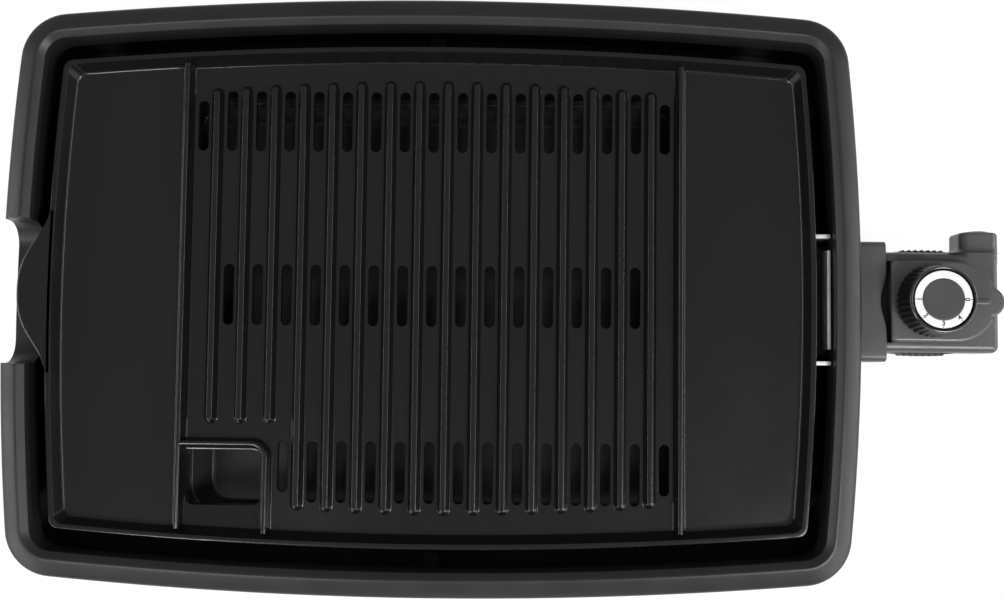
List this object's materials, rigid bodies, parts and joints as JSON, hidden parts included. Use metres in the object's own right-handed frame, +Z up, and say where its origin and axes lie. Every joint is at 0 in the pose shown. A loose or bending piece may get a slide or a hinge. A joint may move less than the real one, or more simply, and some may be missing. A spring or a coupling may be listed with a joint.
{
  "type": "electric indoor grill",
  "caption": "Low black electric indoor grill with a lift-out ribbed plate, drain, drip tray and a plug-in dial thermostat control.",
  "frame": {"origin": "on the table, under the middle of the bounding box of the whole grill with its control fitted", "axes": "+X along the length towards the thermostat control, +Y across the grill towards the side of the control's cord boss, +Z up from the table"},
  "size_m": [0.5603, 0.3316, 0.0733],
  "materials": {
    "housing_plastic": "fine moulded texture",
    "pan_plastic": "fine moulded texture",
    "zinc_steel": "zinc plated",
    "foot_rubber": "matt",
    "nonstick_casting": "glossy black non-stick coating on die-cast aluminium",
    "element_sheath": "dull sheath",
    "ceramic": "unglazed ceramic",
    "plated_pin": "nickel plated",
    "guard_steel": "bare sheet",
    "tray_enamel": "glossy black enamel on pressed sheet",
    "case_plastic": "fine moulded texture",
    "phenolic": "dense heat-proof moulding",
    "contact_brass": "plain",
    "rod_steel": "ground",
    "grip_rubber": "matt",
    "gland_rubber": "matt",
    "bimetal": "plain rolled",
    "knob_plastic": "satin with a glossy top edge",
    "dial_plastic": "white",
    "cap_plastic": "satin grey"
  },
  "bodies": {
    "base": {"base_housing": "housing_plastic", "base_pan": "pan_plastic", "pan_screws": "zinc_steel", "rubber_feet": "foot_rubber", "foot_screws": "zinc_steel"},
    "plate": {"grill_plate": "nonstick_casting", "heating_element": "element_sheath", "element_seals": "ceramic", "terminal_pins": "plated_pin", "socket_guard": "guard_steel", "guard_screws": "zinc_steel"},
    "tray": {"drip_tray": "tray_enamel"},
    "control": {"control_lower_case": "case_plastic", "control_upper_case": "case_plastic", "case_screws": "zinc_steel", "plug_block": "phenolic", "contact_sleeves": "contact_brass", "sensor_rod": "rod_steel", "rod_nut": "rod_steel", "front_grip": "grip_rubber", "rear_grip": "grip_rubber", "cord_gland": "gland_rubber", "gland_clamp": "zinc_steel", "spindle_bush": "contact_brass", "thermostat_frame": "guard_steel", "bimetal_strip": "bimetal", "moving_leaf": "contact_brass", "fixed_leaf": "contact_brass", "leaf_insulators": "ceramic", "contact_points": "plated_pin", "leaf_rivet": "plated_pin"},
    "knob": {"control_knob": "knob_plastic", "dial_ring": "dial_plastic", "knob_cap": "cap_plastic", "knob_spindle": "rod_steel", "spindle_clip": "zinc_steel"}
  },
  "joints": [
    {"name": "plate_lift", "type": "slide", "parent": "base", "child": "plate", "axis": [0, 0, 1], "range_m": [0, 0.21]},
    {"name": "tray_lift", "type": "slide", "parent": "base", "child": "tray", "axis": [0, 0, 1], "range_m": [0, 0.105]},
    {"name": "control_pull", "type": "slide", "parent": "base", "child": "control", "axis": [1, 0, 0], "range_m": [0, 0.11]},
    {"name": "knob_turn", "type": "hinge", "parent": "control", "child": "knob", "pos_m": [0.23765, 0, 0.06], "axis": [0, 0, -1], "range_deg": [0, 315]}
  ],
  "couplings": [
    {"joint": "tray_lift", "follows": "plate_lift", "ratio": 0.5}
  ]
}
